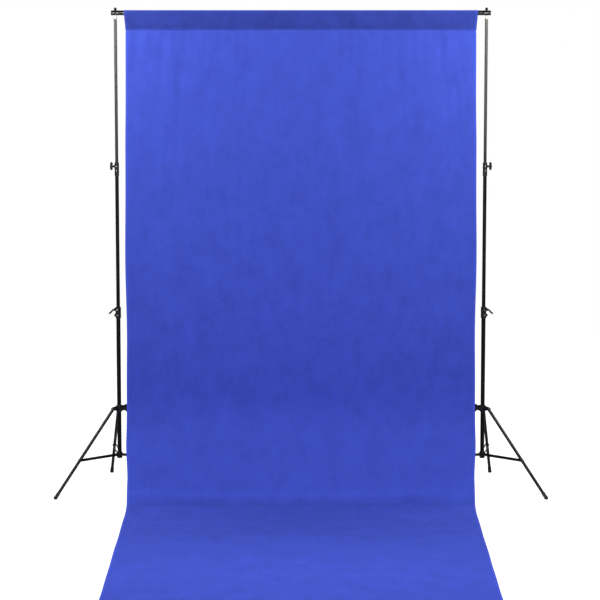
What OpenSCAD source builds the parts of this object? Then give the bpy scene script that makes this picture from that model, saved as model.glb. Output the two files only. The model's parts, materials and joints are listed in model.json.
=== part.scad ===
// Backdrop kit: a cloth backdrop hung by its rod pocket from a crossbar on two telescopic tripod stands.
// Millimetres, +Z up. The origin is on the floor at the centre of the whole kit's footprint.
// +X runs to the right along the crossbar. The cloth hangs below the bar, then runs forward, towards -Y.
// A stand is drawn once, on the right, with its outer side towards +X, and mirrored for the left.

/* [Layout] */
// Distance between the two stands' axes
stand_spacing = 1910; // [1905:1:1920]
// Height of the crossbar's axis above the floor
bar_height = 2497; // [2460:1:2520]
// Depth of the footprint, from the rear feet to the front end of the cloth
footprint_depth = 3000; // [2400:10:3400]

/* [Crossbar] */
// Length of the crossbar
bar_length = 1950; // [1945:1:1970]
// Outside diameter of the crossbar
bar_d = 25; // [25:0.5:26]
// Wall thickness of the crossbar
bar_wall = 1.2; // [1:0.1:1.5]
// Length of the necks that join the crossbar's sections
neck_length = 45; // [30:1:60]

/* [Stand columns] */
// Outside diameter of the lower tube
lower_d = 22; // [22:0.1:22.4]
// Outside diameter of the middle tube
mid_d = 19; // [18.8:0.1:19]
// Outside diameter of the upper tube
top_d = 16; // [15.8:0.1:16]
// Wall thickness of the three tubes
tube_wall = 1; // [0.9:0.05:1.1]
// Height of the lower tube's bottom end above the floor
column_bottom = 168; // [166:1:169]
// Height of the lower collar's underside
lower_collar_z = 909; // [900:1:920]
// Height of the upper collar's underside
upper_collar_z = 1655; // [1640:1:1670]
// How far each tube's bottom end sits below its collar's top at full extension
tube_overlap = 150; // [120:1:160]
// Diameter of the threaded studs of the knobs, levers and spigots
stud_d = 6; // [5.8:0.1:6]

/* [Tripod] */
// Direction of the first leg seen from above, from the stand's outer side
first_leg_angle = -40; // [-42:1:-39]
// Radius of the circle that the leg pivots lie on
pivot_r = 38; // [37.5:0.1:39]
// Height of the leg pivots with the legs open
pivot_z = 430; // [425:1:435]
// Radius of the circle that the feet stand on
foot_r = 412; // [405:1:420]
// Outside diameter of a leg
leg_d = 16; // [15:0.1:16]
// Radius of the circle that the brace pivots lie on
brace_r = 20; // [19.8:0.1:20]
// Where the brace meets the leg, as a share of the leg's length
brace_share = 0.583; // [0.58:0.001:0.586]
// Width of a brace strip
brace_width = 10; // [9:0.5:10]
// Radius of a rubber foot's ball
foot_ball_r = 10.5; // [10.2:0.1:11]

/* [Cloth] */
// Width of the cloth where it hangs
cloth_width = 1830; // [1800:1:1830]
// Width of the cloth on the floor, a little drawn in by its side hems
floor_width = 1784; // [1760:1:1800]
// Thickness of the cloth
cloth_t = 1.5; // [1:0.1:2]
// Height of the rod pocket, from the top of the bar to its seam
pocket_height = 97; // [80:1:120]
// Radius of the curve from the hanging cloth to the floor
cove_r = 550; // [540:1:560]
// How far the lower half of the hanging cloth leans forward, in degrees
drop_lean = 3.5; // [3:0.1:4]

/* [Hidden] */
$fn = 64;
LEFT = -1;
RIGHT = 1;
slide_gap = 0.06;
fixed_gap = 0.02;
face_gap = 0.3;
cut = 1;

stand_x = stand_spacing / 2;
rear_reach = foot_r * sin(first_leg_angle + 120) + foot_ball_r;
bar_y = footprint_depth / 2 - rear_reach;

// Tripod triangle: the leg from its pivot to the foot, and the level brace
foot_z = 7;
leg_angle = atan2(foot_r - pivot_r, pivot_z - foot_z);
leg_length = (pivot_z - foot_z) / cos(leg_angle);
brace_at = brace_share * leg_length;
brace_z = pivot_z - brace_at * cos(leg_angle);
brace_end_r = pivot_r + brace_at * sin(leg_angle);
leg_wall = 1;
leg_plug = 30;
leg_top = 2;
leg_pin_r = 3;
brace_pin_r = 2.5;
ear_inner = leg_d / 2 + face_gap;
ear_t = 3.2;
strip_inner = leg_d / 2 + 0.5;
strip_t = 1.8;
head_t = 1.4;
rivet_r = 3.6;

// Moulded hubs
hub_r = 16;
leg_hub_h = 33;
base_hub_r = 15;
base_hub_h = 30;
base_block_h = 13;
hub_knob_angle = first_leg_angle + 180;
hub_knob_z = pivot_z + 9;
hub_boss_r = 6.5;
hub_boss_x = 23;

// Collars and the tubes in them
lower_collar_wall = 3.2;
upper_collar_wall = 2;
lower_collar_h = 59;
upper_collar_h = 70;
lower_seat_h = 26;
upper_seat_h = 35;
lower_bead_r = 1.6;
upper_bead_r = 1;
lower_tube_top = lower_collar_z + lower_seat_h;
mid_tube_top = upper_collar_z + upper_seat_h;
mid_bottom = lower_collar_z + lower_collar_h - tube_overlap;
top_bottom = upper_collar_z + upper_collar_h - tube_overlap;
bush_flange_h = 20;
bush_plug_h = 22;
bush_bore_r = 4;
lower_bore_r = lower_d / 2 - tube_wall;
mid_bore_r = mid_d / 2 - tube_wall;
top_bore_r = top_d / 2 - tube_wall;

// Locks: the lower lever turns about Y, the upper knob and the hub knob about a radial line
lock_stud_r = stud_d / 2;
lever_x = 16;
lever_z = lower_collar_z + 46;
lever_boss_r = 7;
lever_boss_half = 13;
lever_t = 6;
lug_x = 14;
lug_z = lower_collar_z + 16;
upper_knob_z = upper_collar_z + 50;
upper_boss_x = 17;
clamp_slit = 1.6;

// Spigot and wing nut
bar_bottom = bar_height - bar_d / 2;
bar_top = bar_height + bar_d / 2;
spigot_shoulder_h = 15;
spigot_flange_h = 3;
top_tube_top = bar_bottom - spigot_shoulder_h - spigot_flange_h;
wing_hub_r = 7.3;
wing_hub_h = 10;
stud_top = bar_top + 13;

// Crossbar sections
section_length = bar_length / 4;
bar_bore_r = bar_d / 2 - bar_wall;
cap_lip = 2;
cap_plug = 9;

// Cloth
pocket_bottom = bar_top + 1 - pocket_height;
pocket_bore_r = bar_d / 2 + 0.4;
seam_gap = 0.5;
lower_travel = mid_bottom - bush_flange_h - column_bottom - 27;
upper_travel = top_bottom - bush_flange_h - mid_bottom - bush_plug_h - 10;
cove_z = cove_r + cloth_t / 2;
cove_top = cove_z - cove_r * sin(drop_lean);
cove_width = (cloth_width + floor_width) / 2;
split_z = cove_top + (pocket_bottom - cove_top) * lower_travel / (lower_travel + upper_travel);
cove_y = bar_y - (split_z - cove_top) * tan(drop_lean) - cove_r * cos(drop_lean);
front_y = -footprint_depth / 2;

// ---- Placing ----

// A stand's frame: its column is the Z axis and its outer side is +X
module at_stand(side) {
    if (side == RIGHT) {
        translate([stand_x, bar_y, 0]) children();
    } else {
        mirror([1, 0, 0]) translate([stand_x, bar_y, 0]) children();
    }
}

// A leg's frame inside a stand's: +X is the way the leg points
module at_leg(leg) {
    rotate([0, 0, first_leg_angle + 120 * (leg - 1)]) children();
}

// The open leg's own frame: the pivot is the origin and the leg runs down -Z
module along_leg(leg) {
    at_leg(leg) translate([pivot_r, 0, pivot_z]) rotate([0, -leg_angle, 0]) children();
}

// ---- Shared shapes ----

// A cylinder across the leg's plane, centred on it
module cross_pin(r, length) {
    rotate([90, 0, 0]) cylinder(r = r, h = length, center = true);
}

// A flat outline in the leg's plane, given thickness and centred on the plane at offset y
module plate(thickness, y) {
    translate([0, y, 0]) rotate([90, 0, 0]) linear_extrude(thickness, center = true) children();
}

// A straight bar with round ends, from p to q
module capsule(p, q, width) {
    run = q - p;
    translate(p) circle(d = width);
    translate(q) circle(d = width);
    translate(p) rotate(atan2(run[1], run[0])) translate([0, -width / 2]) square([norm(run), width]);
}

// The point at t on a cubic curve with control points c, and the curve's direction there
function curve_point(c, t) =
    pow(1 - t, 3) * c[0] + 3 * t * pow(1 - t, 2) * c[1] + 3 * t * t * (1 - t) * c[2] + pow(t, 3) * c[3];
function curve_run(c, t) =
    pow(1 - t, 2) * (c[1] - c[0]) + 2 * t * (1 - t) * (c[2] - c[1]) + t * t * (c[3] - c[2]);

// One edge of an arm along a curve, at a half width that rounds off over the last tenth
function arm_edge(c, t, half) =
    let (d = curve_run(c, t) / norm(curve_run(c, t)), over = max(0, (t - 0.9) / 0.1))
    curve_point(c, t) + half * sqrt(1 - over * over) * [-d[1], d[0]];

module curved_arm(c, width) {
    steps = 40;
    polygon([
        for (i = [0:steps]) arm_edge(c, i / steps, width / 2),
        for (i = [1:steps]) arm_edge(c, 1 - i / steps, -width / 2)
    ]);
}

module pipe(d, wall, z0, z1) {
    difference() {
        translate([0, 0, z0]) cylinder(d = d, h = z1 - z0);
        translate([0, 0, z0 - cut]) cylinder(d = d - 2 * wall, h = z1 - z0 + 2 * cut);
    }
}

// A turned sleeve with chamfered ends and beads round it at the given heights
module sleeve(r, z0, h, beads = [], bead_r = 0) {
    chamfer = 1.2;
    rotate_extrude() {
        polygon([[0, z0], [r - chamfer, z0], [r, z0 + chamfer], [r, z0 + h - chamfer], [r - chamfer, z0 + h], [0, z0 + h]]);
        for (z = beads) translate([r, z]) circle(r = bead_r);
    }
}

module bore_z(r, z0, z1) {
    translate([0, 0, z0]) cylinder(r = r, h = z1 - z0);
}

module bore_x(r, z, x1) {
    translate([0, 0, z]) rotate([0, 90, 0]) cylinder(r = r, h = x1);
}

// A pin across the leg's plane with a head outside each face
module headed_pin(r, half, head_r) {
    cross_pin(r, 2 * half);
    for (s = [-1, 1]) {
        translate([0, s * (half + head_t / 2), 0]) cross_pin(head_r, head_t);
    }
}

// ---- Column ----

module lower_tube(side) {
    color("#191a1c") at_stand(side) pipe(lower_d, tube_wall, column_bottom, lower_tube_top);
}

module tube_plug(side) {
    rim = 4;
    color("#151515") at_stand(side) {
        bore_z(lower_d / 2, column_bottom - rim, column_bottom - fixed_gap);
        bore_z(lower_bore_r - fixed_gap, column_bottom - rim, column_bottom + 12);
    }
}

module mid_tube(side) {
    color("#191a1c") at_stand(side) pipe(mid_d, tube_wall, mid_bottom, mid_tube_top);
}

module top_tube(side) {
    color("#77787a") at_stand(side) pipe(top_d, tube_wall, top_bottom, top_tube_top);
}

// A bush at a tube's bottom end: a flange that slides in the outer tube and a plug inside its own tube
module bush(z, outer_bore_r, own_bore_r) {
    difference() {
        union() {
            bore_z(outer_bore_r - slide_gap, z - bush_flange_h, z - fixed_gap);
            bore_z(own_bore_r - fixed_gap, z - bush_flange_h, z + bush_plug_h);
        }
        bore_z(bush_bore_r, z - bush_flange_h - cut, z + bush_plug_h + cut);
    }
}

module mid_bush(side) {
    color("#d9d9d2") at_stand(side) bush(mid_bottom, lower_bore_r, mid_bore_r);
}

module top_bush(side) {
    color("#d9d9d2") at_stand(side) bush(top_bottom, mid_bore_r, top_bore_r);
}

// ---- Base hub and braces ----

module base_hub(side) {
    block_reach = brace_r + 5;
    color("#1b1b1d") at_stand(side) difference() {
        union() {
            sleeve(base_hub_r, column_bottom, base_hub_h);
            for (leg = [1:3]) {
                at_leg(leg) plate(2 * (strip_inner - 0.2), 0) {
                    translate([brace_r, brace_z]) circle(r = block_reach - brace_r);
                    translate([0, brace_z - base_block_h / 2]) square([brace_r, base_block_h]);
                }
            }
        }
        bore_z(lower_d / 2 + fixed_gap, column_bottom - cut, column_bottom + base_hub_h + cut);
        for (leg = [1:3]) {
            at_leg(leg) translate([brace_r, 0, brace_z]) cross_pin(brace_pin_r + fixed_gap, 40);
        }
    }
}

module base_hub_pins(side) {
    half = strip_inner + strip_t + 0.1;
    color("#3a3b3d") at_stand(side) for (leg = [1:3]) {
        at_leg(leg) translate([brace_r, 0, brace_z]) headed_pin(brace_pin_r, half, 4.2);
    }
}

// A brace: a flat strip each side of the leg, with a rivet head where it meets the leg
module brace(side, leg) {
    strip_y = strip_inner + strip_t / 2;
    color("#202124") at_stand(side) at_leg(leg) for (s = [-1, 1]) {
        difference() {
            plate(strip_t, s * strip_y) capsule([brace_r, brace_z], [brace_end_r, brace_z], brace_width);
            translate([brace_r, 0, brace_z]) cross_pin(brace_pin_r + slide_gap, 40);
        }
        translate([brace_end_r, s * (strip_y + (strip_t + head_t) / 2), brace_z]) cross_pin(rivet_r, head_t);
    }
}

// ---- Leg hub and legs ----

module leg_hub(side) {
    hub_z = pivot_z - leg_hub_h / 2;
    ear_y = ear_inner + ear_t / 2;
    color("#1b1b1d") at_stand(side) difference() {
        union() {
            sleeve(hub_r, hub_z, leg_hub_h);
            for (leg = [1:3], s = [-1, 1]) {
                at_leg(leg) plate(ear_t, s * ear_y) {
                    translate([pivot_r, pivot_z]) circle(r = 6.5);
                    polygon([[0, pivot_z - 14], [pivot_r + 1, pivot_z - 6.3], [pivot_r + 1, pivot_z + 6.3], [0, pivot_z + 14]]);
                }
            }
            rotate([0, 0, hub_knob_angle]) bore_x(hub_boss_r, hub_knob_z, hub_boss_x);
        }
        bore_z(lower_d / 2 + slide_gap, hub_z - cut, hub_z + leg_hub_h + cut);
        for (leg = [1:3]) {
            at_leg(leg) translate([pivot_r, 0, pivot_z]) cross_pin(leg_pin_r + fixed_gap, 40);
        }
        rotate([0, 0, hub_knob_angle]) bore_x(lock_stud_r + slide_gap, hub_knob_z, 40);
    }
}

module leg_hub_pins(side) {
    half = ear_inner + ear_t + 0.1;
    color("#3a3b3d") at_stand(side) for (leg = [1:3]) {
        at_leg(leg) translate([pivot_r, 0, pivot_z]) headed_pin(leg_pin_r, half, 4.8);
    }
}

module leg(side, leg) {
    color("#232427") at_stand(side) along_leg(leg) difference() {
        union() {
            translate([0, 0, -leg_length]) cylinder(d = leg_d, h = leg_length + leg_top);
            translate([0, 0, leg_top]) sphere(d = leg_d);
        }
        translate([0, 0, -leg_length - cut]) cylinder(d = leg_d - 2 * leg_wall, h = leg_length + cut - leg_plug);
        cross_pin(leg_pin_r + slide_gap, 2 * leg_d);
    }
}

// A rubber foot: a boot over the leg's end and a ball cut flat on the floor
module foot(side, leg) {
    boot_h = 32;
    below = 60;
    color("#101010") at_stand(side) difference() {
        along_leg(leg) difference() {
            union() {
                translate([0, 0, -leg_length]) sphere(r = foot_ball_r);
                translate([0, 0, -leg_length]) cylinder(r = foot_ball_r - 1, h = boot_h);
            }
            translate([0, 0, -leg_length - fixed_gap]) cylinder(r = leg_d / 2 + fixed_gap, h = boot_h + cut);
        }
        at_leg(leg) translate([foot_r, 0, -below / 2]) cube(below, center = true);
    }
}

// ---- Collars and locks ----

// The lower collar: clamped round the lower tube's top, with a split round the middle tube that its lever closes
module lower_collar(side) {
    z0 = lower_collar_z;
    r = lower_d / 2 + lower_collar_wall;
    color("#1b1b1d") at_stand(side) difference() {
        union() {
            sleeve(r, z0, lower_collar_h, [lug_z, lever_z - 4], lower_bead_r);
            translate([lever_x, 0, lever_z]) cross_pin(lever_boss_r, 2 * lever_boss_half);
            translate([lug_x, 0, lug_z]) cross_pin(7.5, 16);
        }
        bore_z(lower_d / 2 + fixed_gap, z0 - cut, lower_tube_top + fixed_gap);
        bore_z(mid_d / 2 + slide_gap, z0, z0 + lower_collar_h + cut);
        translate([0, -clamp_slit / 2, lower_tube_top + 2]) cube([40, clamp_slit, lower_collar_h]);
        translate([lever_x, 0, lever_z]) cross_pin(lock_stud_r + slide_gap, 60);
    }
}

// A clamp lever that sweeps outwards and down from its screw
module lower_lever(side) {
    root = [lever_x, lever_z];
    reach = [33, -19];
    y = -lever_boss_half - face_gap - lever_t / 2;
    color("#141415") at_stand(side) {
        plate(lever_t, y) {
            translate(root) circle(r = 6.5);
            curved_arm([root, root + [15, 6], root + [14, -14], root + reach], 8.5);
        }
        translate([lever_x, (y + lever_boss_half) / 2, lever_z]) cross_pin(lock_stud_r, lever_boss_half - y);
    }
}

module upper_collar(side) {
    z0 = upper_collar_z;
    r = mid_d / 2 + upper_collar_wall;
    color("#1b1b1d") at_stand(side) difference() {
        union() {
            sleeve(r, z0, upper_collar_h, [z0 + 24, upper_knob_z - 6], upper_bead_r);
            bore_x(hub_boss_r, upper_knob_z, upper_boss_x);
        }
        bore_z(mid_d / 2 + fixed_gap, z0 - cut, mid_tube_top + fixed_gap);
        bore_z(top_d / 2 + slide_gap, z0, z0 + upper_collar_h + cut);
        bore_x(lock_stud_r + slide_gap, upper_knob_z, 40);
    }
}

// A lock knob on a screw along +X: a stem, and a grip that runs from "down" below the screw to "up" above it
module lock_knob(z, tip_x, face_x, grip_x, grip_w, up, down) {
    stem_r = 4.6;
    translate([tip_x, 0, z]) rotate([0, 90, 0]) cylinder(r = lock_stud_r, h = face_x - tip_x + 2);
    translate([face_x, 0, z]) rotate([0, 90, 0]) cylinder(r = stem_r, h = grip_x - face_x);
    plate(11, 0) {
        capsule([grip_x, z + up - grip_w / 2], [grip_x, z - down + grip_w / 2], grip_w);
        translate([grip_x, z]) circle(d = grip_w + 3);
    }
}

module upper_knob(side) {
    tip_x = top_d / 2 + face_gap;
    color("#141415") at_stand(side) {
        lock_knob(upper_knob_z, tip_x, upper_boss_x + face_gap, 28, 13, 22, 19);
    }
}

module hub_knob(side) {
    tip_x = lower_d / 2 + face_gap;
    color("#141415") at_stand(side) rotate([0, 0, hub_knob_angle]) {
        lock_knob(hub_knob_z, tip_x, hub_boss_x + face_gap, 45, 10, 8, 28);
    }
}

// ---- Spigot and wing nut ----

module spigot(side) {
    plug_h = 30;
    shoulder_r = 6;
    color("#e4e5e7") at_stand(side) {
        bore_z(top_bore_r - fixed_gap, top_tube_top - plug_h, top_tube_top + 1);
        bore_z(top_d / 2 + 0.8, top_tube_top + fixed_gap, top_tube_top + spigot_flange_h);
        bore_z(shoulder_r, top_tube_top + 1, bar_bottom - 0.1);
        bore_z(lock_stud_r, top_tube_top + 1, stud_top);
    }
}

// A wing nut on the stud above the bar, with its wings across the bar
module wing_nut(side) {
    base_z = bar_top + 0.15;
    color("#141415") at_stand(side) difference() {
        union() {
            bore_z(wing_hub_r, base_z, base_z + wing_hub_h);
            rotate([0, 0, 90]) plate(9, 0) for (s = [-1, 1]) {
                capsule([s * 4, base_z + 5], [s * 13, base_z + 10], 8.5);
            }
        }
        bore_z(lock_stud_r + slide_gap, base_z - cut, base_z + 40);
        bore_z(wing_hub_r - 1, base_z + wing_hub_h, base_z + 40);
    }
}

// ---- Crossbar ----

// One section's tube, starting at x
module crossbar_tube(x) {
    translate([x, bar_y, bar_height]) rotate([0, 90, 0]) pipe(bar_d, bar_wall, 0, section_length - fixed_gap);
}

// The inner sleeve that joins two sections at x
module crossbar_neck(x) {
    r = bar_bore_r - fixed_gap;
    translate([x, bar_y, bar_height]) rotate([0, 90, 0]) pipe(2 * r, bar_wall, -neck_length, neck_length);
}

module crossbar_end_sections() {
    color("#131416") difference() {
        union() {
            crossbar_tube(-2 * section_length);
            crossbar_tube(section_length);
        }
        for (side = [LEFT, RIGHT]) {
            at_stand(side) bore_z(lock_stud_r + 0.3, bar_bottom - cut, bar_top + cut);
        }
    }
}

module crossbar_middle_sections() {
    color("#131416") {
        crossbar_tube(-section_length);
        crossbar_tube(0);
        for (i = [-1:1]) crossbar_neck(i * section_length);
    }
}

module crossbar_end_caps() {
    color("#111111") for (s = [-1, 1]) {
        translate([s * bar_length / 2, bar_y, bar_height]) rotate([0, s * 90, 0]) {
            bore_z(bar_d / 2, fixed_gap, cap_lip);
            bore_z(bar_bore_r - fixed_gap, -cap_plug, cap_lip);
        }
    }
}

// ---- Cloth ----

// The pocket: a sleeve round the bar that closes to a flat seam below it
module rod_pocket() {
    r = pocket_bore_r + cloth_t;
    lean = acos(r / (bar_height - pocket_bottom));
    color("#3a4aa8") translate([0, bar_y, bar_height]) rotate([90, 0, 90]) {
        linear_extrude(cloth_width, center = true) difference() {
            union() {
                circle(r = r);
                polygon([
                    [-r * sin(lean), -r * cos(lean)], [-cloth_t, pocket_bottom - bar_height],
                    [cloth_t, pocket_bottom - bar_height], [r * sin(lean), -r * cos(lean)]
                ]);
            }
            circle(r = pocket_bore_r);
        }
    }
}

// A length of the hanging cloth, leaning forward below its top edge
module drop(z0, z1, lean) {
    forward = (z1 - z0) * tan(lean);
    color("#3f50b5") translate([0, bar_y, 0]) rotate([90, 0, 90]) linear_extrude(cloth_width, center = true)
        polygon([
            [-cloth_t / 2, z1], [cloth_t / 2, z1],
            [cloth_t / 2 - forward, z0], [-cloth_t / 2 - forward, z0]
        ]);
}

module drop_upper() {
    drop(split_z + seam_gap, pocket_bottom - seam_gap, 0);
}

module drop_lower() {
    drop(cove_top + seam_gap, split_z, drop_lean);
}

// The turn from the hanging cloth to the floor
module cove() {
    reach = 2 * cove_r;
    steps = 720;
    color("#3f50b5") translate([0, cove_y, cove_z]) rotate([90, 0, 90]) {
        linear_extrude(cove_width, center = true) intersection() {
            difference() {
                circle(r = cove_r + cloth_t / 2, $fn = steps);
                circle(r = cove_r - cloth_t / 2, $fn = steps);
            }
            polygon([
                [seam_gap, -reach], [seam_gap, -seam_gap * tan(drop_lean)],
                [reach * cos(drop_lean), -reach * sin(drop_lean)], [reach * cos(drop_lean), -reach]
            ]);
        }
    }
}

module floor_run() {
    y1 = cove_y;
    color("#4457c8") translate([-floor_width / 2, front_y, 0]) cube([floor_width, y1 - front_y, cloth_t]);
}

lower_tube(LEFT);  // left_lower_tube
tube_plug(LEFT);  // left_tube_plug
base_hub(LEFT);  // left_base_hub
base_hub_pins(LEFT);  // left_base_hub_pins
leg_hub(LEFT);  // left_leg_hub
leg_hub_pins(LEFT);  // left_leg_hub_pins
hub_knob(LEFT);  // left_hub_knob
leg(LEFT, 1);  // left_leg_1
leg(LEFT, 2);  // left_leg_2
leg(LEFT, 3);  // left_leg_3
foot(LEFT, 1);  // left_foot_1
foot(LEFT, 2);  // left_foot_2
foot(LEFT, 3);  // left_foot_3
brace(LEFT, 1);  // left_brace_1
brace(LEFT, 2);  // left_brace_2
brace(LEFT, 3);  // left_brace_3
lower_collar(LEFT);  // left_lower_collar
lower_lever(LEFT);  // left_lower_lever
mid_tube(LEFT);  // left_mid_tube
mid_bush(LEFT);  // left_mid_bush
upper_collar(LEFT);  // left_upper_collar
upper_knob(LEFT);  // left_upper_knob
top_tube(LEFT);  // left_top_tube
top_bush(LEFT);  // left_top_bush
spigot(LEFT);  // left_spigot
wing_nut(LEFT);  // left_wing_nut
lower_tube(RIGHT);  // right_lower_tube
tube_plug(RIGHT);  // right_tube_plug
base_hub(RIGHT);  // right_base_hub
base_hub_pins(RIGHT);  // right_base_hub_pins
leg_hub(RIGHT);  // right_leg_hub
leg_hub_pins(RIGHT);  // right_leg_hub_pins
hub_knob(RIGHT);  // right_hub_knob
leg(RIGHT, 1);  // right_leg_1
leg(RIGHT, 2);  // right_leg_2
leg(RIGHT, 3);  // right_leg_3
foot(RIGHT, 1);  // right_foot_1
foot(RIGHT, 2);  // right_foot_2
foot(RIGHT, 3);  // right_foot_3
brace(RIGHT, 1);  // right_brace_1
brace(RIGHT, 2);  // right_brace_2
brace(RIGHT, 3);  // right_brace_3
lower_collar(RIGHT);  // right_lower_collar
lower_lever(RIGHT);  // right_lower_lever
mid_tube(RIGHT);  // right_mid_tube
mid_bush(RIGHT);  // right_mid_bush
upper_collar(RIGHT);  // right_upper_collar
upper_knob(RIGHT);  // right_upper_knob
top_tube(RIGHT);  // right_top_tube
top_bush(RIGHT);  // right_top_bush
spigot(RIGHT);  // right_spigot
wing_nut(RIGHT);  // right_wing_nut
crossbar_end_sections();
crossbar_middle_sections();
crossbar_end_caps();
rod_pocket();
drop_upper();
drop_lower();
cove();
floor_run();
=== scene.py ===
"""The looks of the cloth backdrop kit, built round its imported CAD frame. Metres, +Z up."""
import json
import math

import bpy
import numpy as np
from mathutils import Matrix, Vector


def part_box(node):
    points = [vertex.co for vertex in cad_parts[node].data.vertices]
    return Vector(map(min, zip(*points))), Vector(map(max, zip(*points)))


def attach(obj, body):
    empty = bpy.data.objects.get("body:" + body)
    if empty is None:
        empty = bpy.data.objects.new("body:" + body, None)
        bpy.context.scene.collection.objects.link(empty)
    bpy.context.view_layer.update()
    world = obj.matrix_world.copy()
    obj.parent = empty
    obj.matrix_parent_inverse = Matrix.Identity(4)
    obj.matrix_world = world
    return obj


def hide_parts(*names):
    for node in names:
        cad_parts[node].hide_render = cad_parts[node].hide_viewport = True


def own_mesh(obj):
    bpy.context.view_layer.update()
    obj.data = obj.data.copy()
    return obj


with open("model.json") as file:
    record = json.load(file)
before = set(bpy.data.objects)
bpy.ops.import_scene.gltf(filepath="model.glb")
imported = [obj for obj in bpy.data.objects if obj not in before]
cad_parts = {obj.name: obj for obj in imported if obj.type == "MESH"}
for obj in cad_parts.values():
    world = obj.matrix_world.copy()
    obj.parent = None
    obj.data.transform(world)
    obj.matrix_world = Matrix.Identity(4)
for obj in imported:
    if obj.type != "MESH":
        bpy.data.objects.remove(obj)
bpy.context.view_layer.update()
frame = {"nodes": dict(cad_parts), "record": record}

# ---- Places and sizes, from the frame ----

SIDES = ("left", "right")
bar_low, bar_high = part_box("crossbar_end_sections")
bar_y = (bar_low.y + bar_high.y) / 2
bar_z = (bar_low.z + bar_high.z) / 2
bar_r = (bar_high.z - bar_low.z) / 2
pocket_low, pocket_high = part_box("rod_pocket")
seam_z = pocket_low.z
cloth_half = pocket_high.x
cove_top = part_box("cove")[1].z
lower_low, lower_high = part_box("drop_lower")
upper_low, upper_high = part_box("drop_upper")
split_z = lower_high.z
floor_low, floor_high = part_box("floor_run")
floor_half = floor_high.x
forward = (lower_high.y - lower_low.y) - (upper_high.y - upper_low.y)
lean = math.atan2(forward, split_z - lower_low.z)

# The cloth's own length runs from the pocket's seam down the drop, round the cove and along the floor
CLOTH_T = 0.0012
mid_z = CLOTH_T / 2 + 0.0002
cove_r = (cove_top - mid_z) / (1 - math.sin(lean))
SPLIT_AT = seam_z - split_z
DROP_END = SPLIT_AT + (split_z - cove_top) / math.cos(lean)
COVE_END = DROP_END + cove_r * (math.pi / 2 - lean)
cove_y = bar_y - (split_z - cove_top) * math.tan(lean) - cove_r * math.cos(lean)
FLOOR_END = COVE_END + cove_y - floor_low.y

# ---- Small helpers ----


def smooth(t):
    t = np.clip(t, 0.0, 1.0)
    return t * t * (3 - 2 * t)


def bump(x, centre, width):
    return np.exp(-(((x - centre) / width) ** 2))


def stations(x, table):
    """A smooth curve through (place, value) stations."""
    places, values = zip(*table)
    k = np.clip(np.searchsorted(places, x, side="right") - 1, 0, len(places) - 2)
    p, v = np.array(places), np.array(values)
    return v[k] + (v[k + 1] - v[k]) * smooth((x - p[k]) / (p[k + 1] - p[k]))


def mesh_object(name, verts, faces):
    mesh = bpy.data.meshes.new(name)
    mesh.from_pydata([tuple(v) for v in verts], [], faces)
    mesh.update()
    obj = bpy.data.objects.new(name, mesh)
    bpy.context.scene.collection.objects.link(obj)
    return obj


def grid_faces(rows, cols, start=0, flip=False):
    faces = []
    for i in range(rows - 1):
        for j in range(cols - 1):
            a = start + i * cols + j
            quad = (a, a + 1, a + cols + 1, a + cols)
            faces.append(quad[::-1] if flip else quad)
    return faces


# ---- Materials ----


class Nodes:
    """A material's node tree, built one call at a time."""

    def __init__(self, name):
        self.material = bpy.data.materials.new(name)
        self.material.use_nodes = True
        self.tree = self.material.node_tree
        self.shader = self.tree.nodes["Principled BSDF"]

    def add(self, kind, settings=(), **inputs):
        node = self.tree.nodes.new("ShaderNode" + kind)
        for key, value in dict(settings).items():
            setattr(node, key, value)
        for key, value in inputs.items():
            self.link(value, node.inputs[key.replace("_", " ")])
        return node

    def link(self, value, socket):
        if isinstance(value, bpy.types.NodeSocket):
            self.tree.links.new(value, socket)
        elif isinstance(value, bpy.types.Node):
            self.tree.links.new(value.outputs[0], socket)
        else:
            socket.default_value = value

    def set(self, **inputs):
        for key, value in inputs.items():
            self.link(value, self.shader.inputs[key.replace("_", " ")])

    def where(self, scale=(1, 1, 1)):
        place = self.add("TexCoord").outputs["Object"]
        return self.add("Mapping", Vector=place, Scale=scale)

    def noise(self, vector, scale, detail=4.0, roughness=0.55):
        node = self.add("TexNoise", Vector=vector, Scale=scale, Detail=detail, Roughness=roughness)
        return node.outputs[0]

    def ramp(self, value, low, high, to_low=0.0, to_high=1.0):
        return self.add(
            "MapRange", Value=value, From_Min=low, From_Max=high, To_Min=to_low, To_Max=to_high
        ).outputs[0]

    def maths(self, operation, a, b):
        node = self.tree.nodes.new("ShaderNodeMath")
        node.operation = operation
        self.link(a, node.inputs[0])
        self.link(b, node.inputs[1])
        return node.outputs[0]

    def mix(self, share, a, b):
        node = self.tree.nodes.new("ShaderNodeMix")
        node.data_type = "RGBA"
        self.link(share, node.inputs[0])
        self.link(a, node.inputs[6])
        self.link(b, node.inputs[7])
        return node.outputs[2]

    def relief(self, height, strength, distance, normal=None):
        node = self.add("Bump", Height=height, Strength=strength, Distance=distance)
        if normal is not None:
            self.link(normal, node.inputs["Normal"])
        return node.outputs[0]


def rgb(r, g, b):
    return (r, g, b, 1.0)


def edge_wear(n, radius):
    """A mask that is 1 on convex edges, where paint or moulding wears first."""
    round_normal = n.add("Bevel", {"samples": 4}, Radius=radius)
    true_normal = n.add("NewGeometry").outputs["Normal"]
    dot = n.tree.nodes.new("ShaderNodeVectorMath")
    dot.operation = "DOT_PRODUCT"
    n.link(round_normal, dot.inputs[0])
    n.link(true_normal, dot.inputs[1])
    return n.ramp(dot.outputs["Value"], 0.97, 0.80)


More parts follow.
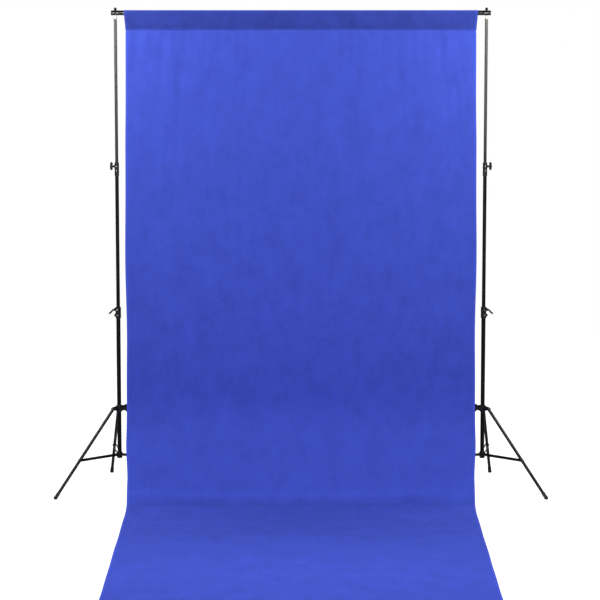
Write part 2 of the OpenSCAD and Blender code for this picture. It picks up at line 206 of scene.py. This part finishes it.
def painted_metal(name, colour, worn, roughness, coat=0.4, streaks=1.0, shine=0.25):
    """Paint on steel tube: fine orange peel, dull scuffs, faint handling streaks along it and worn edges."""
    n = Nodes(name)
    place = n.where()
    patches = n.noise(place, 18.0, 5.0)
    streak = n.noise(n.where((70, 70, 3)), 1.0, 4.0)
    scuff = n.ramp(n.noise(place, 95.0, 6.0, 0.7), 0.63, 0.75)
    shade = n.mix(n.ramp(patches, 0.35, 0.7), rgb(*colour), rgb(*[c * 1.5 for c in colour]))
    shade = n.mix(n.maths("MULTIPLY", n.ramp(streak, 0.55, 0.85), 0.15 * streaks), shade, rgb(*worn))
    mask = n.maths("MULTIPLY", edge_wear(n, 0.0012), n.ramp(patches, 0.3, 0.6))
    shade = n.mix(n.maths("MULTIPLY", mask, 0.7), shade, rgb(*worn))
    rough = n.ramp(n.noise(place, 40.0, 5.0), 0.3, 0.75, roughness * 0.75, roughness * 1.35)
    rough = n.maths("ADD", rough, n.maths("MULTIPLY", scuff, 0.14))
    peel = n.noise(place, 900.0, 2.0)
    n.set(Base_Color=shade, Roughness=rough, Specular_IOR_Level=shine)
    n.set(Coat_Weight=coat, Coat_Roughness=roughness * 0.6)
    n.set(Normal=n.relief(peel, 0.08, 0.0004))
    return n.material


def graded_tube(name, low_z, high_z):
    """The upper tube: dark at its foot, and lighter, more metallic brushed metal higher up, a painted
    reflection of the bright surround.
    """
    n = Nodes(name)
    place = n.add("TexCoord").outputs["Object"]
    z = n.add("SeparateXYZ", Vector=place).outputs[2]
    # Painted reflection: black low down, turning to grey brushed metal between these heights
    share = n.ramp(z, low_z, high_z)
    brushed = n.noise(n.where((900, 900, 12)), 1.0, 3.0)
    bright = n.mix(n.ramp(brushed, 0.3, 0.7), rgb(0.056, 0.056, 0.064), rgb(0.10, 0.10, 0.112))
    n.set(Base_Color=n.mix(share, rgb(0.010, 0.010, 0.012), bright))
    n.set(Metallic=n.ramp(share, 0.0, 1.0, 0.2, 0.6))
    n.set(Roughness=n.ramp(brushed, 0.2, 0.8, 0.26, 0.42), Coat_Weight=0.2)
    n.set(Normal=n.relief(brushed, 0.10, 0.0003))
    return n.material


def moulded(name, colour, roughness, grain=1400.0, depth=0.25):
    """Moulded plastic: a fine spark-eroded grain, slightly polished and greyed where it is handled."""
    n = Nodes(name)
    place = n.where()
    grain_map = n.noise(place, grain, 3.0, 0.6)
    cloud = n.noise(place, 60.0, 4.0)
    shade = n.mix(n.ramp(cloud, 0.3, 0.75), rgb(*colour), rgb(*[c * 1.6 + 0.002 for c in colour]))
    edge = edge_wear(n, 0.0008)
    shade = n.mix(n.maths("MULTIPLY", edge, 0.35), shade, rgb(*[c * 3 + 0.03 for c in colour]))
    n.set(Base_Color=shade, Roughness=n.ramp(cloud, 0.3, 0.75, roughness * 0.85, roughness * 1.15))
    n.set(Specular_IOR_Level=0.5, Normal=n.relief(grain_map, depth, 0.0003))
    return n.material


def plated(name, colour, roughness):
    """Plated or blackened steel: turned rings round it and a few dull spots."""
    n = Nodes(name)
    rings = n.noise(n.where((40, 40, 2200)), 1.0, 2.0)
    spots = n.noise(n.where(), 260.0, 5.0)
    dull = n.ramp(spots, 0.58, 0.72)
    n.set(Base_Color=n.mix(n.maths("MULTIPLY", dull, 0.5), rgb(*colour), rgb(*[c * 0.45 for c in colour])))
    n.set(Metallic=1.0, Roughness=n.maths("ADD", roughness, n.maths("MULTIPLY", dull, 0.2)))
    n.set(Normal=n.relief(rings, 0.12, 0.0002))
    return n.material


def rubber(name, colour):
    """Matt rubber with a fine grain and pale dust on it."""
    n = Nodes(name)
    place = n.where()
    dust = n.ramp(n.noise(place, 130.0, 6.0, 0.65), 0.5, 0.78)
    n.set(Base_Color=n.mix(n.maths("MULTIPLY", dust, 0.3), rgb(*colour), rgb(0.09, 0.085, 0.08)))
    n.set(Roughness=n.ramp(dust, 0.0, 1.0, 0.62, 0.9), Sheen_Weight=0.1)
    n.set(Normal=n.relief(n.noise(place, 1100.0, 3.0), 0.3, 0.0004))
    return n.material


def backdrop_cloth(title):
    """Brushed non-woven cloth: mottling, faint upright streaks, fibres with a sheen, hems and stitching, a
    painted shade over the rod pocket, and a painted highlight and painted shade band along the old fold.

    It reads the cloth's own flat coordinates, so its pattern runs unbroken over the pieces.
    """
    n = Nodes(title)
    flat = n.add("Attribute", {"attribute_name": "cloth_place"}).outputs["Vector"]

    def mark(name):
        return n.add("Attribute", {"attribute_name": name}).outputs["Fac"]

    def scaled(x, y):
        return n.add("Mapping", Vector=flat, Scale=(x, y, 1))

    streaks = n.noise(scaled(30, 4.0), 1.0, 6.0, 0.6)
    mottle = n.noise(scaled(9.0, 6.6), 1.0, 5.0, 0.8)
    fibres = n.noise(scaled(900, 420), 1.0, 3.0, 0.7)
    tone = n.ramp(streaks, 0.25, 0.75, -0.03, 0.03)
    tone = n.maths("ADD", tone, n.ramp(mottle, 0.25, 0.75, -0.15, 0.15))
    tone = n.maths("ADD", tone, n.ramp(fibres, 0.2, 0.8, -0.07, 0.07))
    # The pocket's mark is painted shade, and the fold's mark is a painted highlight over a painted shade band
    for name, share in (("hem", 0.16), ("seam", -0.30), ("pocket_painted_shade", -0.37), ("fold_painted_light", 0.10)):
        tone = n.maths("ADD", tone, n.maths("MULTIPLY", mark(name), share))
    value = n.maths("ADD", 1.0, tone)
    shade = n.add("HueSaturation", Color=rgb(0.0385, 0.0625, 0.455), Value=value)
    n.set(Base_Color=shade, Roughness=0.9, Specular_IOR_Level=0.12)
    n.set(Sheen_Weight=0.05, Sheen_Roughness=0.5, Sheen_Tint=rgb(0.35, 0.50, 1.0))
    coarse = n.relief(streaks, 0.25, 0.0012)
    n.set(Normal=n.relief(fibres, 0.45, 0.0005, coarse))
    return n.material


JET, JET_WORN = (0.003, 0.003, 0.0035), (0.03, 0.03, 0.03)
BLACK, BLACK_WORN = (0.004, 0.004, 0.0045), (0.04, 0.04, 0.04)
FINISHES = {
    "crossbar_tube": lambda: painted_metal("crossbar_paint", JET, JET_WORN, 0.14, 1.0, 0.4, 0.6),
    "column_tube": lambda: painted_metal("column_paint", JET, JET_WORN, 0.34, 0.1),
    "upper_tube": lambda: graded_tube("upper_tube_metal", seam_z - 0.75, seam_z - 0.35),
    "leg_tube": lambda: painted_metal("leg_paint", BLACK, BLACK_WORN, 0.32, 0.3),
    "brace_strip": lambda: painted_metal("brace_paint", BLACK, BLACK_WORN, 0.36, 0.2),
    "moulding": lambda: moulded("hub_moulding", (0.005, 0.005, 0.006), 0.40),
    "knob": lambda: moulded("knob_moulding", (0.004, 0.004, 0.005), 0.28, 900.0, 0.12),
    "bush": lambda: moulded("bush_moulding", (0.62, 0.61, 0.56), 0.42),
    "pin_steel": lambda: plated("blackened_steel", (0.10, 0.10, 0.105), 0.34),
    "bright_metal": lambda: plated("bright_plating", (0.42, 0.43, 0.44), 0.22),
    "foot_rubber": lambda: rubber("foot_rubber", (0.010, 0.010, 0.010)),
}


def dress_frame():
    """Gives each CAD node the finish of its slot. The cloth nodes get none: other pieces replace them."""
    made = {}
    for part in frame["record"]["subparts"]:
        slot, node = part["material_slot"], frame["nodes"][part["node"]]
        if slot not in FINISHES:
            continue
        if slot not in made:
            made[slot] = FINISHES[slot]()
        node.data.materials.clear()
        node.data.materials.append(made[slot])


# ---- The cloth ----

HEM_W = 0.014
HEM_T = 0.0007
ROW_STEP = 0.012
# Half of the cloth's width along its length: drawn in under the pocket and a little narrower on the floor
WIDTHS = (
    (0.0, cloth_half - 0.0135),
    (0.16, cloth_half - 0.0138),
    (0.62, cloth_half - 0.0075),
    (1.09, cloth_half - 0.0015),
    (1.62, cloth_half - 0.0098),
    (2.14, cloth_half - 0.0055),
    (2.37, floor_half + 0.0045),
    (2.87, floor_half - 0.0046),
    (3.30, floor_half - 0.0046),
    (3.70, floor_half - 0.0015),
    (FLOOR_END, floor_half - 0.001),
)
# An old fold lies across the cloth just above the floor: a low ridge, with a painted highlight along it and a
# painted shade band below it
FOLD_AT = DROP_END + 0.547
FOLD_H = 0.0025
FOLD_W = 0.018
# How the cloth turns from the drop to the floor: lengths past the drop's end, and slopes there.
# It swings forward, comes down at a steady slant and breaks sharply where it meets the floor.
TURNS = ((0.0, lean), (0.22, math.radians(33)), (0.56, math.radians(44)), (0.67, math.pi / 2))


def slope(s):
    """How far the middle line has turned from hanging straight down, in radians."""
    bow = lean * np.clip((s - SPLIT_AT + 0.15) / 0.3, 0, 1)
    places, angles = zip(*TURNS)
    return bow + np.interp(s - DROP_END, places, angles) - lean


def trace_profile():
    """The middle line's places, a millimetre apart."""
    s = np.arange(-0.05, FLOOR_END + 0.05, 0.001)
    turn = (slope(s[1:]) + slope(s[:-1])) / 2
    y = np.concatenate([[0], np.cumsum(-np.sin(turn))]) * 0.001
    z = np.concatenate([[0], np.cumsum(-np.cos(turn))]) * 0.001
    y, z = y - np.interp(0, s, y), z - np.interp(0, s, z)
    settle = smooth(s / COVE_END)
    y = y + settle * (cove_y - bar_y - np.interp(COVE_END, s, y))
    z = z + settle * (mid_z - seam_z - np.interp(COVE_END, s, z))
    return s, y + bar_y, z + seam_z


MIDDLE_LINE = trace_profile()


def profile(s):
    """The cloth's middle line at length s: y, z, and its face normal's y and z."""
    places, ys, zs = MIDDLE_LINE
    turn = slope(s)
    return np.interp(s, places, ys), np.interp(s, places, zs), -np.cos(turn), np.sin(turn)


def half_width(s):
    """Half of the cloth's width at length s, with edges that waver a little."""
    return stations(s, WIDTHS) + 0.0012 * np.sin(4.1 * s + 1.0) + 0.0007 * np.sin(11.3 * s)


def fold_line(x):
    """Where the old fold runs, a little uneven across the cloth."""
    return FOLD_AT + 0.008 * np.cos(1.8 * x) + 0.003 * np.sin(9.0 * x) - 0.004


def undulation(x, s):
    """How far the cloth stands off its middle line: slow waves, still at the seam, and the old fold's ridge.

    The waves fade towards the floor, where the cloth only lifts a little here and there.
    """
    hang = smooth(s / 0.30) * (1 - 0.85 * smooth((s - DROP_END) / (COVE_END - DROP_END)))
    waves = 0.0016 * np.sin(9.0 * x + 0.9 * np.sin(1.7 * s) + 0.4)
    waves = waves + 0.0009 * np.sin(21.0 * x + 1.3 * s) + 0.0006 * np.sin(37.0 * x - 2.1 * s + 2.0)
    edge = smooth((np.abs(x) - cloth_half + 0.16) / 0.16)
    curl = 0.0030 * edge * np.sin(3.3 * s + np.sign(x) * 0.7)
    lift = 0.0008 * np.sin(6.0 * x + 2.0 * s) * np.sin(3.1 * s + 1.0)
    ridge = FOLD_H * (0.85 + 0.15 * np.sin(4.0 * x)) * bump(s, fold_line(x), FOLD_W)
    return hang * (waves + curl) + ridge + np.where(s > COVE_END, np.abs(lift), 0.0)


def cloth_surface(share, s):
    """Points of the cloth's middle surface, for shares of its half width and lengths s (2-D arrays)."""
    y, z, ny, nz = profile(s)
    x = share * half_width(s)
    off = undulation(x, s)
    return np.stack([x, y + ny * off, z + nz * off], -1)


def drape(rows, cols, frames):
    """Simulates the cloth hanging, held softly to its place, and returns its lengths, shares and offsets."""
    s = np.linspace(0.0, FLOOR_END, rows)
    share = np.linspace(-1.0, 1.0, cols)
    sg, ug = np.meshgrid(s, share, indexing="ij")
    points = cloth_surface(ug, sg)
    obj = mesh_object("drape_study", points.reshape(-1, 3), grid_faces(rows, cols))
    hold = obj.vertex_groups.new(name="hold")
    weights = 0.10 + 0.9 * bump(sg, 0.0, 0.03) + 0.5 * smooth((sg - COVE_END) / 0.2)
    for i, w in enumerate(np.clip(weights, 0, 1).ravel()):
        hold.add([i], float(w), "REPLACE")
    settings = obj.modifiers.new("cloth", "CLOTH").settings
    settings.quality = 6
    settings.mass = 0.06
    settings.tension_stiffness = 12
    settings.compression_stiffness = 12
    settings.shear_stiffness = 6
    settings.bending_stiffness = 0.35
    settings.vertex_group_mass = "hold"
    settings.pin_stiffness = 0.6
    settings.shrink_min = -0.012
    bpy.context.scene.frame_end = frames
    for f in range(1, frames + 1):
        bpy.context.scene.frame_set(f)
    done = obj.evaluated_get(bpy.context.evaluated_depsgraph_get()).data
    moved = np.array([v.co for v in done.vertices], float).reshape(rows, cols, 3)
    bpy.data.objects.remove(obj)
    bpy.context.scene.frame_set(1)
    return s, share, moved - points


def settle_drift(s, share, offsets):
    """Lays the simulated drift down on the floor, and keeps the pieces' seams at their heights."""
    offsets = cap(offsets, 0.010) * (1 - 0.85 * smooth((s - FOLD_AT) / 0.3))[:, None, None]
    offsets[..., 2] *= (1 - bump(s, SPLIT_AT, 0.08) - bump(s, DROP_END, 0.08))[:, None]
    return s, share, offsets


def cap(offsets, limit):
    """Offsets shortened smoothly so that none is longer than the limit."""
    length = np.linalg.norm(offsets, axis=-1, keepdims=True)
    return offsets * (limit * np.tanh(length / limit) / np.maximum(length, 1e-9))


def resample(values, old, new):
    """Cubic (Catmull-Rom) interpolation along the first axis."""
    step = old[1] - old[0]
    t = np.clip((new - old[0]) / step, 0, len(old) - 1.0001)
    k = t.astype(int)
    f = (t - k).reshape((-1,) + (1,) * (values.ndim - 1))
    last = len(old) - 1
    p0, p1 = values[np.clip(k - 1, 0, last)], values[k]
    p2, p3 = values[np.clip(k + 1, 0, last)], values[np.clip(k + 2, 0, last)]
    return p1 + 0.5 * f * (p2 - p0 + f * (2 * p0 - 5 * p1 + 4 * p2 - p3 + f * (3 * (p1 - p2) + p3 - p0)))


def column_shares():
    """Where the columns stand, as shares of the half width: close together at the hems, even between."""
    hem = np.array([0.0, 0.0008, 0.003, 0.007, 0.0115, 0.0125, 0.0135, 0.0145, 0.0175, 0.023, 0.032])
    inner = np.linspace(cloth_half - hem[-1], 0.0, 66)[1:]
    right = np.concatenate([cloth_half - hem, inner]) / cloth_half
    return np.concatenate([-right, right[-2::-1]])


def facing(points):
    """Unit normals of a grid of points, towards the side the cloth faces."""
    along = np.gradient(points, axis=0)
    across = np.gradient(points, axis=1)
    n = np.cross(along, across)
    return n / np.maximum(np.linalg.norm(n, axis=-1, keepdims=True), 1e-12)


def sheet(name, points, normals, thickness, marks, level=0.0):
    """A closed sheet of cloth: its face, its back and the rim between them, with the marks its finish reads.

    Where level is 1 the sheet is cut level, so that it still meets its neighbour when it is squashed.
    """
    rows, cols = points.shape[:2]
    half = normals * thickness[..., None] / 2
    half[..., 2] *= 1 - level
    count = rows * cols
    verts = np.concatenate([(points + half).reshape(-1, 3), (points - half).reshape(-1, 3)])
    faces = grid_faces(rows, cols, 0, True) + grid_faces(rows, cols, count)
    ring = list(range(cols)) + [i * cols + cols - 1 for i in range(1, rows)]
    ring += [(rows - 1) * cols + j for j in range(cols - 2, -1, -1)]
    ring += [i * cols for i in range(rows - 2, 0, -1)]
    for a, b in zip(ring, ring[1:] + ring[:1]):
        faces.append((a, b, b + count, a + count))
    obj = mesh_object(name, verts, faces)
    mesh = obj.data
    for key, values in marks.items():
        kind = "FLOAT_VECTOR" if key == "cloth_place" else "FLOAT"
        flat = values.reshape(count, -1)
        attribute = mesh.attributes.new(key, kind, "POINT")
        field = "vector" if kind == "FLOAT_VECTOR" else "value"
        attribute.data.foreach_set(field, np.concatenate([flat, flat]).astype(np.float32).ravel())
    mesh.shade_smooth()
    both = np.concatenate([normals.reshape(-1, 3), -normals.reshape(-1, 3)])
    mesh.normals_split_custom_set_from_vertices([tuple(n) for n in both])
    return obj


def hem_maps(x_from_edge):
    """How much a point belongs to the side hem, and to its line of stitching."""
    hem = smooth((HEM_W + 0.0006 - x_from_edge) / 0.0012)
    seam = bump(x_from_edge, HEM_W - 0.0015, 0.0011)
    return hem, seam


def cloth_piece(name, s_from, s_to, drape_data, material):
    """The part of the hanging and lying cloth between two lengths."""
    s_old, share_old, offsets = drape_data
    shares = column_shares()
    count = int(round((s_to - s_from) / ROW_STEP)) + 1
    s = np.linspace(s_from, s_to, count)
    margin = (s_to - s_from) / (count - 1)
    s_wide = np.concatenate([[s_from - margin], s, [s_to + margin]])
    sg, ug = np.meshgrid(s_wide, shares, indexing="ij")
    points = cloth_surface(ug, sg)
    drift = resample(offsets, s_old, s_wide).swapaxes(0, 1)
    points = points + resample(drift, share_old, shares).swapaxes(0, 1)
    points[..., 2] = np.maximum(points[..., 2], mid_z)
    normals = facing(points)[1:-1]
    points, sg, ug = points[1:-1], sg[1:-1], ug[1:-1]
    from_edge = (1 - np.abs(ug)) * half_width(sg)
    hem, seam = hem_maps(from_edge)
    end = smooth((HEM_W - (FLOOR_END - sg)) / 0.0012)
    hem = np.maximum(hem, end)
    thickness = CLOTH_T + HEM_T * hem - 0.0005 * seam
    place = np.stack([points[..., 0], sg, np.zeros_like(sg)], -1)
    fold = fold_line(points[..., 0])
    # Painted light along the old fold: a painted highlight on the ridge and a painted shade band just below
    # it
    fold_painted_light = bump(sg, fold, 0.020) - 0.8 * bump(sg, fold + 0.065, 0.050)
    marks = {"cloth_place": place, "hem": hem, "seam": seam, "fold_painted_light": fold_painted_light}
    level = bump(sg, SPLIT_AT, 0.002) + bump(sg, DROP_END, 0.002)
    obj = sheet(name, points, normals, thickness, marks, level)
    obj.data.materials.append(material)
    return obj


# ---- The rod pocket ----

# How far the closing seam sits above the pocket's lower edge, and how far its flap hangs past that edge
SEAM_RISE = 0.009
FLAP_DROP = 0.0025


def pocket_line():
    """The pocket's cross-section, from behind the bar over it to the front, as (y, z) from the bar's axis."""
    hug = bar_r + 0.0004 + CLOTH_T / 2
    drop = bar_z - seam_z
    lap = CLOTH_T * 1.05
    tuck = math.acos(hug / (drop - SEAM_RISE))
    flap = [(-lap, -drop - FLAP_DROP + (SEAM_RISE + FLAP_DROP) * k / 6) for k in range(6)]
    start = (-hug * math.sin(tuck), -hug * math.cos(tuck))
    seam_front, seam_back = (-lap, -drop + SEAM_RISE), (0.0, -drop + SEAM_RISE)

    def run(a, b, count, slack):
        """A straight run that bellies out by slack."""
        out = []
        for k in range(count):
            t = k / count
            belly = slack * math.sin(math.pi * t)
            out.append((a[0] + (b[0] - a[0]) * t + belly, a[1] + (b[1] - a[1]) * t))
        return out

    wrap = math.pi * 2 - 2 * tuck
    arc = [(-math.sin(tuck + wrap * k / 32) * hug, -math.cos(tuck + wrap * k / 32) * hug) for k in range(33)]
    front = run(seam_front, start, 12, -0.0012)
    back = run((hug * math.sin(tuck), start[1]), seam_back, 12, 0.0012)
    tail = [(0.0, -drop + SEAM_RISE * (1 - k / 5)) for k in range(6)]
    return np.array(flap + front + arc + back[1:] + tail)[::-1]


def rod_pocket(material):
    """The sleeve of cloth folded double round the bar, open at its ends and sewn shut along its lower edge,
    with a painted shade over all of it.
    """
    line = pocket_line()
    rows = len(line)
    shares = column_shares()
    length = np.concatenate([np.cumsum(np.linalg.norm(np.diff(line, axis=0), axis=1)[::-1])[::-1], [0]])
    depth = -line[:, 1] / (bar_z - seam_z)
    half = cloth_half - 0.0055 - 0.0050 * smooth(depth)
    lg, ug = np.meshgrid(length, shares, indexing="ij")
    x = ug * half[:, None]
    slack = smooth((depth[:, None] - 0.1) / 0.5) * (1 - smooth((depth[:, None] - 0.85) / 0.1))
    side = np.sign(line[:, 0])[:, None]
    wave = slack * (0.0010 * np.sin(13.0 * x + 0.3) + 0.0006 * np.sin(31.0 * x + 1.1))
    free = smooth((0.012 - lg) / 0.010)
    y = bar_y + line[:, 0][:, None] + side * np.abs(wave) - free * 0.0007 * (1 + np.sin(17.0 * x))
    z = bar_z + line[:, 1][:, None] + free * 0.0009 * np.sin(5.0 * x + 1.0)
    points = np.stack([x, y, z], -1)
    normals = facing(points)
    from_edge = (1 - np.abs(ug)) * half[:, None]
    hem, seam = hem_maps(from_edge)
    seam = np.maximum(seam, 0.25 * bump(lg, SEAM_RISE + FLAP_DROP, 0.0013))
    place = np.stack([x, -lg, np.zeros_like(lg)], -1)
    thickness = CLOTH_T + HEM_T * hem - 0.0004 * seam
    # The pocket's tone mark darkens all of it: painted shade
    marks = {"cloth_place": place, "hem": hem, "seam": seam, "pocket_painted_shade": np.ones_like(lg)}
    obj = sheet("backdrop_rod_pocket", points, normals, thickness, marks)
    obj.data.materials.append(material)
    return obj


# ---- Clamp screws ----

# A screw's outline from its shank to the bottom of its socket, as (radius, reach) in head radii
SCREW_RINGS = (
    (0.97, -0.8), (0.97, 0.30), (0.92, 0.58), (0.80, 0.80), (0.62, 0.94),
    (0.50, 0.97), (0.46, 0.92), (0.44, 0.52), (0.03, 0.48),
)


def clamp_screws(side, collar, body, seat, outward, rises, radius, material):
    """Domed socket screws on the front of a collar, at some rises above its lower end.

    They seat at a distance in front of the tube's axis, and a little outward of it.
    """
    low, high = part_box(side + "_lower_tube")
    x = (low.x + high.x) / 2 + math.copysign(outward, low.x)
    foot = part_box(side + "_" + collar)[0].z
    steps, verts, faces = 32, [], []
    for rise in rises:
        z, start = foot + rise, len(verts)
        for share, reach in SCREW_RINGS:
            for k in range(steps):
                angle = k * math.tau / steps
                across, up = radius * share * math.cos(angle), radius * share * math.sin(angle)
                verts.append((x + across, bar_y - seat - radius * reach, z + up))
        rings = [list(range(start + i * steps, start + (i + 1) * steps)) for i in range(len(SCREW_RINGS))]
        for a, b in zip(rings, rings[1:]):
            faces += [(a[k], b[k], b[k - 1], a[k - 1]) for k in range(steps)]
        faces += [tuple(rings[0]), tuple(reversed(rings[-1]))]
    obj = mesh_object(side + "_" + collar + "_screws", verts, faces)
    obj.data.shade_smooth()
    obj.data.materials.append(material)
    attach(obj, body)


# ---- Building it ----

dress_frame()
cloth_finish = backdrop_cloth("backdrop_cloth")
drape_data = settle_drift(*drape(rows=170, cols=72, frames=26))

upper = cloth_piece("backdrop_upper_drop", 0.0, SPLIT_AT, drape_data, cloth_finish)
lower = cloth_piece("backdrop_lower_drop", SPLIT_AT, DROP_END, drape_data, cloth_finish)
sweep = cloth_piece("backdrop_floor_sweep", DROP_END, FLOOR_END, drape_data, cloth_finish)
pocket = rod_pocket(cloth_finish)

screw_finish = plated("screw_plating", (0.80, 0.81, 0.82), 0.32)
for side in SIDES:
    middle = side + "_mid_section"
    clamp_screws(
        side, "lower_collar", "base", seat=0.0138, outward=0.004, rises=(0.016, 0.044), radius=0.0038,
        material=screw_finish,
    )
    clamp_screws(
        side, "upper_collar", middle, seat=0.0112, outward=0.002, rises=(0.029, 0.051), radius=0.0032,
        material=screw_finish,
    )


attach(pocket, "left_top_section")
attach(upper, "left_mid_section")
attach(lower, "base")
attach(sweep, "base")
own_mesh(upper)
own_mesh(lower)
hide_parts("rod_pocket")
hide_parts("drop_upper")
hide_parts("drop_lower")
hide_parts("cove", "floor_run")

# ---- Stage, light and camera ----

# The white surround as light, and as it shows in glossy reflections
AMBIENT, REFLECTED = 0.434, 0.08
# The floor's colour as a bounce of light, its colour to the camera, and its glow to the camera
FLOOR_SHADE, FLOOR_SEEN, FLOOR_GLOW = rgb(0.2, 0.2, 0.2), rgb(0.30, 0.30, 0.30), 0.90
FLOOR_R, FLOOR_Z = 8.0, -0.0005


def floor_material():
    """A pale floor: bright to the camera, so that it shades off into the white surround."""
    n = Nodes("pale_floor")
    seen = n.add("LightPath").outputs["Is Camera Ray"]
    n.set(Base_Color=n.mix(seen, FLOOR_SHADE, FLOOR_SEEN), Roughness=0.8, Specular_IOR_Level=0.1)
    n.set(Emission_Color=rgb(1, 1, 1), Emission_Strength=n.maths("MULTIPLY", seen, FLOOR_GLOW))
    place = n.add("TexCoord").outputs["Object"]
    far = n.add("VectorMath", {"operation": "LENGTH"}, Vector=place).outputs["Value"]
    clear = n.add("BsdfTransparent")
    mix = n.add("MixShader")
    n.link(n.ramp(far, 3.5, 7.0), mix.inputs[0])
    n.link(n.shader.outputs[0], mix.inputs[1])
    n.link(clear, mix.inputs[2])
    n.link(mix, n.tree.nodes["Material Output"].inputs["Surface"])
    return n.material


def make_floor():
    steps = 64
    angles = [k * math.tau / steps for k in range(steps)]
    ring = [(FLOOR_R * math.cos(a), FLOOR_R * math.sin(a), FLOOR_Z) for a in angles]
    floor = mesh_object("studio_floor", ring, [tuple(range(steps))])
    floor.data.materials.append(floor_material())


def make_world():
    """White to the camera, and a softer white as light."""
    world = bpy.data.worlds.new("white_surround")
    world.use_nodes = True
    tree = world.node_tree
    path = tree.nodes.new("ShaderNodeLightPath")
    background = tree.nodes["Background"]
    background.inputs["Color"].default_value = (1, 1, 1, 1)
    glossy, camera = (tree.nodes.new("ShaderNodeMix") for _ in range(2))
    tree.links.new(path.outputs["Is Glossy Ray"], glossy.inputs[0])
    glossy.inputs[2].default_value = AMBIENT
    glossy.inputs[3].default_value = REFLECTED
    tree.links.new(path.outputs["Is Camera Ray"], camera.inputs[0])
    tree.links.new(glossy.outputs[0], camera.inputs[2])
    camera.inputs[3].default_value = 1.0
    tree.links.new(camera.outputs[0], background.inputs["Strength"])
    bpy.context.scene.world = world


def soft_light(name, place, target, size, power, colour=(1, 1, 1), glints=True):
    """An area light aimed at a target and hidden from the camera. Without glints it leaves no highlights."""
    light = bpy.data.lights.new(name, "AREA")
    light.shape = "RECTANGLE"
    light.size, light.size_y = size
    light.energy = power
    light.color = colour
    obj = bpy.data.objects.new(name, light)
    obj.location = place
    obj.rotation_euler = (Vector(target) - Vector(place)).to_track_quat("-Z", "Y").to_euler()
    obj.visible_camera = False
    obj.visible_glossy = glints
    bpy.context.scene.collection.objects.link(obj)


def make_camera():
    sideways, distance, height, tilt = -0.0047, 13.5, 2.95, math.radians(8.2)
    camera = bpy.data.cameras.new("camera")
    camera.sensor_width = 36.0
    camera.lens = 156.6
    camera.clip_end = 100.0
    obj = bpy.data.objects.new("camera", camera)
    obj.location = (sideways, bar_y - distance, height)
    obj.rotation_euler = (math.pi / 2 - tilt, 0, 0)
    bpy.context.scene.collection.objects.link(obj)
    bpy.context.scene.camera = obj


make_floor()
make_world()
# Two key lights graze the top of the cloth, three small ones in front fill it, and a wide one behind the
# bar lights the floor run past the backdrop's own shadow
KEY_COLOUR = (0.97, 1.0, 0.78)
for side in (-1, 1):
    key_at, key_target = (side * 1.9, bar_y - 1.1, 2.9), (side * 0.8, bar_y, 2.2)
    soft_light("key_light", key_at, key_target, (0.8, 1.2), 45.8, KEY_COLOUR)
    soft_light("side_fill", (side * 1.37, bar_y - 6.0, 2.8), (side * 0.6, bar_y, 1.2), (0.5, 0.3), 32)
soft_light("fill_light", (0, bar_y - 6.0, 2.6), (0, bar_y, 1.2), (0.6, 0.6), 62)
soft_light("back_light", (0, bar_y + 1.5, 5.3), (0, bar_y - 2.0, 0), (5.4, 0.75), 228, glints=False)
make_camera()
bpy.context.scene.view_settings.view_transform = "Standard"
